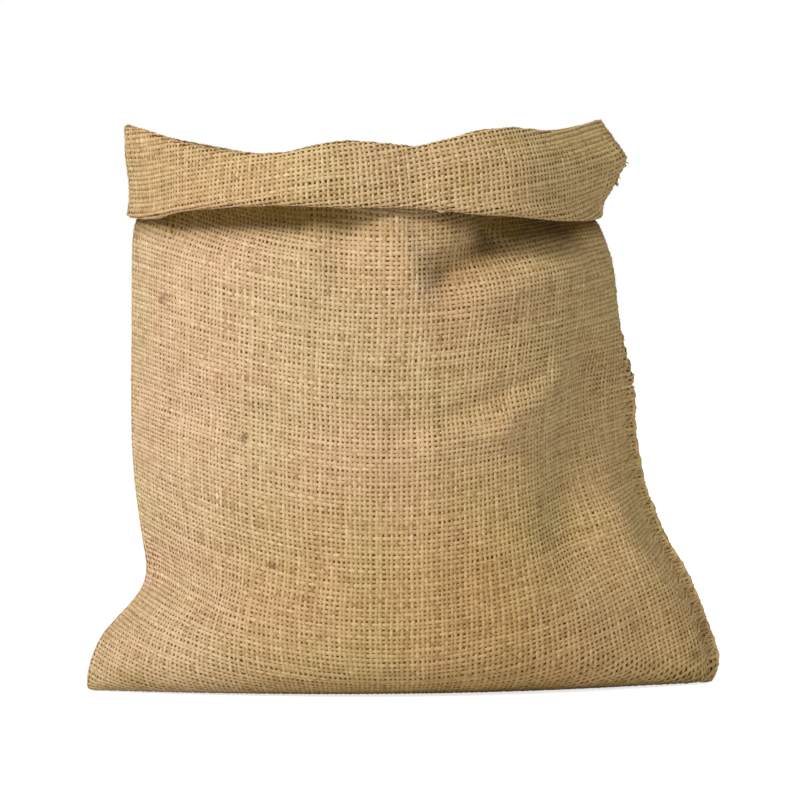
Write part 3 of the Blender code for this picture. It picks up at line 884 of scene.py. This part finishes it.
def above_cloth(warp, weft, by):
    """Points on or off the cloth's outer face, at warp and weft numbers."""
    near = 0.4
    side = on_cloth(warp + near, weft) - on_cloth(warp - near, weft)
    up = on_cloth(warp, weft + near) - on_cloth(warp, weft - near)
    return on_cloth(warp, weft) + unit(np.cross(side, up)) * np.asarray(by)[..., None]


def through(points, step):
    """Points close together on a smooth curve through a few points."""
    points = np.asarray(points, float)
    length = np.concatenate([[0], np.linalg.norm(np.diff(points, axis=0), axis=1).cumsum()])
    at = np.linspace(0, length[-1], int(length[-1] / step) + 1)
    low = np.clip(np.searchsorted(length, at, side="right") - 1, 0, len(points) - 2)
    slope = np.gradient(points, length, axis=0)
    span = (length[low + 1] - length[low])[:, None]
    t = (at[:, None] - length[low][:, None]) / span
    bend = (slope[low] * (1 - t) - slope[low + 1] * t) * span * t * (1 - t)
    return points[low] + (points[low + 1] - points[low]) * t * t * (3 - 2 * t) + bend


def weft_at_seam(up):
    """The weft number at a distance up the seam."""
    return np.array([np.interp(up, up_seam, wanted) / weft_pitch])


cuff_stitches_from = np.interp(up_cloth[rim_from, -1], wanted, up_seam) - 4
knots = []
for here, after in zip(stitches_at, stitches_at[1:]):
    on_cuff = here > cuff_stitches_from
    reach = (stitch_reach_on_cuff if on_cuff else stitch_reach) * chance.uniform(*reach_uneven)
    # The front half, the turn over the edge, and the back half. The two layers' edges
    # are the last warp yarn on the front and the first on the back.
    for share, lift in stitch_route:
        weft = weft_at_seam(here + (after - here) * over_edge * (1 - share))
        warp = np.array([warp_count - share * reach / warp_pitch])
        knots.append(above_cloth(warp, weft, lift)[0])
    weft = weft_at_seam(here + (after - here) * over_edge)
    edge_point = on_cloth(np.array([float(warp_count)]), weft)[0]
    inner_point = on_cloth(np.array([warp_count - 2.0]), weft)[0]
    beyond = over_by_on_cuff if on_cuff else over_by
    knots.append(edge_point + unit(edge_point - inner_point) * beyond)
    for share, lift in reversed(stitch_route):
        weft = weft_at_seam(here + (after - here) * (over_edge + (1 - over_edge) * share))
        knots.append(above_cloth(np.array([share * reach / warp_pitch]), weft, lift)[0])
line = through(knots, twine_step)
side_turn = 2 * np.pi * np.arange(twine_sides) / twine_sides
twist = 2 * np.pi * np.arange(len(line)) * twine_step / twine_twist
ply = np.cos(2 * (side_turn - twist[:, None]))
radius = twine_thickness / 2 * (1 + twine_ply_depth * ply)
twine_marks = {"ply": 0.5 + 0.5 * ply, "tone": 0.5 + 0.1 * wander(1, len(line), 12)[0][:, None]}
twine = tubes("seam_twine", line[None], radius[None], twine_marks)

# Two plies of raw jute, twisted together: matt straw, with painted shade in the groove.
sewing_twine = bpy.data.materials.new("two_ply_jute_twine")
sewing_twine.use_nodes = True
tree = sewing_twine.node_tree
tree.nodes.clear()
ply_rise = add(tree, "ShaderNodeAttribute", {"attribute_name": "ply"}).outputs["Fac"]
# The groove between the plies is painted darker, as painted shade.
groove_shade, crest = srgb("#AE905C"), srgb("#E6D09C")
colour = add(tree, "ShaderNodeMix", covering, _0=ply_rise, _6=groove_shade, _7=crest).outputs[2]
shader = add(
    tree, "ShaderNodeBsdfPrincipled", Base_Color=colour, Roughness=0.9, Specular_IOR_Level=0.25
)
add(tree, "ShaderNodeOutputMaterial", Surface=shader.outputs[0])
twine.data.materials.append(sewing_twine)
on_sack(twine)

# ---------------------------------------------------------------------------
# Loose yarn: short frayed ends where the seam's edge is worn at the right end of the
# cuff, and a yarn pulled out of the cuff's turned edge in a small loop.

loose_yarn, loose_sides = 1.1, 5
frayed_ends, frayed_heights, frayed_length, frayed_points = 16, (281.0, 305.0), (0.8, 2.3), 6
frayed_from, frayed_to, frayed_bend, frayed_tip = -0.3, 1.0, 0.6, 0.45
frayed_band, frayed_inside, frayed_along = 1.5, 0.6, 3.0
lines = []
on_cuff = wanted > up_cloth[rim_from, -1] + 3
for _ in range(frayed_ends):
    rise = chance.uniform(*frayed_heights)
    near = on_cuff[:, None] & (abs(net[..., 2] - rise) < frayed_band)
    start = net[np.unravel_index(np.where(near, net[..., 0], -np.inf).argmax(), near.shape)]
    start = start + np.array([-frayed_inside, chance.uniform(-frayed_along, frayed_along), 0])
    way = unit(np.array([1.1, chance.uniform(-0.7, 0.7), chance.uniform(-0.9, 0.5)]))
    way = way * chance.uniform(*frayed_length)
    bend = chance.normal(size=3) * frayed_bend
    out = np.linspace(frayed_from, frayed_to, frayed_points)[:, None]
    lines.append(start + way * out + bend * (out - frayed_from) ** 2)
taper = np.linspace(1.0, frayed_tip, frayed_points)[None, :, None] * np.ones((1, 1, loose_sides))
radius = loose_yarn / 2 * taper * chance.uniform(0.6, 1, (frayed_ends, 1, 1))
# The frayed ends are worn, with painted shade and painted olive shade on them.
worn_and_shaded = {"flank": 0.5, "bark": 0, "olive": 0.5, "rust": 0, "painted_shade": 0.5, "painted_olive_shade": 1}
worn_and_shaded["tone"] = chance.uniform(0.15, 0.6, (frayed_ends, 1, 1))
ends = tubes("frayed_ends", np.array(lines), radius, worn_and_shaded)
ends.data.materials.append(jute)
on_sack(ends)

loop_at, loop_wide, loop_hangs, loop_stands_off = (19.0, 269.0), 3.6, 3.0, 2.4
loop_points, loop_ends_in, loop_sides = 15, 1.6, 6
from_loop = abs(net[..., 0] - loop_at[0]) + 3 * abs(net[..., 2] - loop_at[1])
from_loop = np.where(on_front_cuff, from_loop, np.inf)
middle = net[np.unravel_index(from_loop.argmin(), from_loop.shape)]
t = np.linspace(-1, 1, loop_points)
across_it, down = loop_wide * t * (1.1 - 0.2 * t), loop_hangs * (t * t - 1)
loop = np.stack([across_it, loop_ends_in * t**4 - loop_stands_off, down - 1], -1)
# The pulled yarn is pale, with a little painted olive shade.
pale = {"tone": 0.85, "flank": 0.1, "bark": 0, "olive": 0, "rust": 0, "painted_shade": 0, "painted_olive_shade": 0.2}
loop_radius = np.full((1, loop_points, loop_sides), loose_yarn / 2)
pulled_yarn = tubes("pulled_yarn", (middle + loop)[None], loop_radius, pale)
pulled_yarn.data.materials.append(jute)
on_sack(pulled_yarn)

# ---------------------------------------------------------------------------
# Loose fibres: jute is hairy, and short fibres stand off its yarns everywhere, most of
# all along the seam. Drawn a little thicker than the real 0.1 mm, and far fewer.

fibre_count, fibre_thickness, fibre_length, fibre_points = 4700, (0.12, 0.22), (1.8, 4.8), 5
fibres_from, more_in_seam, fibre_curl, fibre_tip = 3.0, 1.2, 0.35, 0.5
fibre_root, fibre_stands, fibre_droops = 0.35, (0.2, 0.8), 0.75
weft_of, warp_of = np.nonzero(is_cloth & (crossings[..., 2] > fibres_from))
likely = in_seam[weft_of, warp_of] * more_in_seam + 1
chosen = chance.choice(len(weft_of), fibre_count, p=likely / likely.sum())
weft_of, warp_of = weft_of[chosen], warp_of[chosen]
angle = chance.uniform(0, 2 * np.pi, (fibre_count, 1))
way = np.cos(angle) * along_weft[weft_of, warp_of] + np.sin(angle) * along_warp[weft_of, warp_of]
curl = np.cross(way, face[weft_of, warp_of]) * chance.normal(size=(fibre_count, 1)) * fibre_curl
length = chance.uniform(*fibre_length, (fibre_count, 1, 1))
stands = chance.uniform(*fibre_stands, (fibre_count, 1, 1))
t = np.linspace(0, 1, fibre_points)[None, :, None]
off = fibre_root + length * stands * (t - fibre_droops * t * t)
lines = crossings[weft_of, warp_of][:, None] + face[weft_of, warp_of][:, None] * off
lines = lines + length * (way[:, None] * t + curl[:, None] * t * t)
thick = chance.uniform(*fibre_thickness, (fibre_count, 1, 1)) / 2 * (1 - fibre_tip * t)
loose_fibres = tubes("loose_fibres", lines, thick * np.ones((1, 1, 3)), {})
# Single raw jute fibres: pale straw, with a slight shine where they catch the light.
fibre = bpy.data.materials.new("loose_jute_fibres")
fibre.use_nodes = True
shader = fibre.node_tree.nodes["Principled BSDF"]
shader.inputs["Base Color"].default_value = srgb("#DCC594")
shader.inputs["Roughness"].default_value = 0.6
shader.inputs["Specular IOR Level"].default_value = 0.4
loose_fibres.data.materials.append(fibre)
on_sack(loose_fibres)

# ---------------------------------------------------------------------------
# Fine fibres stand off every jute yarn and half close the holes between them. They
# are far too many to lay one by one, so one thin brown sheet in the middle of the
# weave stands for them. Its brown is also painted shade of the sack's inside seen
# through the holes, darker where a hole is more open.

haze_inside, hole_stretch, by_stretch, by_hole = 0.3, 3, 0.28, 0.2
haze_warp = np.linspace(haze_inside, warp_count - haze_inside, warp_count + 1)
haze_weft = np.linspace(haze_inside, weft_count - haze_inside, weft_count + 1)[:, None]
raw_edge = np.interp(haze_warp * net_step, np.arange(net.shape[1]), up_cloth[-1])
haze_weft = haze_weft * (raw_edge / weft_pitch / weft_count)
haze_at = on_cloth(*np.broadcast_arrays(haze_warp, haze_weft))
haze_rows, haze_columns = haze_at.shape[:2]
corner = np.arange(haze_rows * haze_columns).reshape(haze_rows, haze_columns)
quads = np.stack([corner[:-1, :-1], corner[:-1, 1:], corner[1:, 1:], corner[1:, :-1]], -1)
u, v = np.meshgrid(np.linspace(0, 1, haze_columns), np.linspace(0, 1, haze_rows))
places = np.stack([u, v], -1).reshape(-1, 2)[quads.ravel()]
openness = 0.5 + by_stretch * wander(haze_rows, haze_columns, hole_stretch)
openness = openness + by_hole * chance.normal(size=corner.shape)
hole_shade_sheet = jute_piece("fibre_haze_and_hole_shade", haze_at, quads.reshape(-1, 4), places, {"open": openness})
# Painted hole shade and the fibres between the yarns: matt brown, with no shine at all.
hole_shade_and_fibres = bpy.data.materials.new("jute_fibres_and_painted_hole_shade")
hole_shade_and_fibres.use_nodes = True
tree = hole_shade_and_fibres.node_tree
tree.nodes.clear()
open_share = add(tree, "ShaderNodeAttribute", {"attribute_name": "open"})
ramp = add(tree, "ShaderNodeValToRGB", Fac=open_share.outputs["Fac"])
ramp.color_ramp.elements[0].color = srgb("#8C6A34")
ramp.color_ramp.elements[1].color = srgb("#40290C")
shade = ramp.outputs["Color"]
shader = add(
    tree, "ShaderNodeBsdfPrincipled", Base_Color=shade, Roughness=1.0, Specular_IOR_Level=0.0
)
add(tree, "ShaderNodeOutputMaterial", Surface=shader.outputs[0])
hole_shade_sheet.data.materials.append(hole_shade_and_fibres)
on_sack(hole_shade_sheet)

# ---------------------------------------------------------------------------
# A plain pale floor, a pale surround, and soft light from one large panel high at the
# left, in front. The camera stands far off and low, and looks a little down.

floor_size, floor_height, floor_glow = 30, -0.0003, 0.75
bpy.ops.mesh.primitive_plane_add(size=floor_size, location=(0, 0, floor_height))
floor = bpy.context.object
floor.name = "floor"
# White paper: matt, and nearly white all over.
paper = bpy.data.materials.new("white_paper")
paper.use_nodes = True
tree = paper.node_tree
shader = tree.nodes["Principled BSDF"]
shader.inputs["Base Color"].default_value = srgb("#F4F4F4")
shader.inputs["Roughness"].default_value = 0.9
# The camera sees the paper lit from behind too, as on a light table.
seen = add(tree, "ShaderNodeLightPath").outputs["Is Camera Ray"]
glow = add(tree, "ShaderNodeMath", {"operation": "MULTIPLY"}, _0=seen, _1=floor_glow)
tree.links.new(glow.outputs[0], shader.inputs["Emission Strength"])
shader.inputs["Emission Color"].default_value = (1, 1, 1, 1)
floor.data.materials.append(paper)

# The surround lights the sack less than it shows behind it.
world_light = 0.42
world = bpy.data.worlds.new("pale_surround")
bpy.context.scene.world = world
world.use_nodes = True
tree = world.node_tree
seen = add(tree, "ShaderNodeLightPath").outputs["Is Camera Ray"]
strength = add(tree, "ShaderNodeMapRange", _0=seen, _3=world_light, _4=1.0)
tree.links.new(strength.outputs[0], tree.nodes["Background"].inputs["Strength"])
tree.nodes["Background"].inputs["Color"].default_value = (1, 1, 1, 1)
bpy.context.scene.view_settings.view_transform = "Standard"

panel_at, panel_faces = Vector((-1.38, -1.5, 1.68)), Vector((0, 0, 0.15))
panel_size, panel_power, panel_colour = 0.6, 37, "#FFF4EA"
panel_data = bpy.data.lights.new("key_light", "AREA")
panel_data.shape, panel_data.size, panel_data.energy = "SQUARE", panel_size, panel_power
panel_data.color = srgb(panel_colour)[:3]
panel = bpy.data.objects.new("key_light", panel_data)
bpy.context.scene.collection.objects.link(panel)
panel.location = panel_at
panel.rotation_mode = "QUATERNION"
panel.rotation_quaternion = (panel_faces - panel_at).to_track_quat("-Z", "Y")

camera_data = bpy.data.cameras.new("camera")
camera_data.lens, camera_data.sensor_width = 174.6, 36
camera = bpy.data.objects.new("camera", camera_data)
bpy.context.scene.collection.objects.link(camera)
camera_at, camera_faces = Vector((-0.0035, -2.1938, 0.230)), Vector((-0.0035, 0.0062, 0.1593))
camera.location = camera_at
camera.rotation_mode = "QUATERNION"
camera.rotation_quaternion = (camera_faces - camera_at).to_track_quat("-Z", "Y")
bpy.context.scene.camera = camera
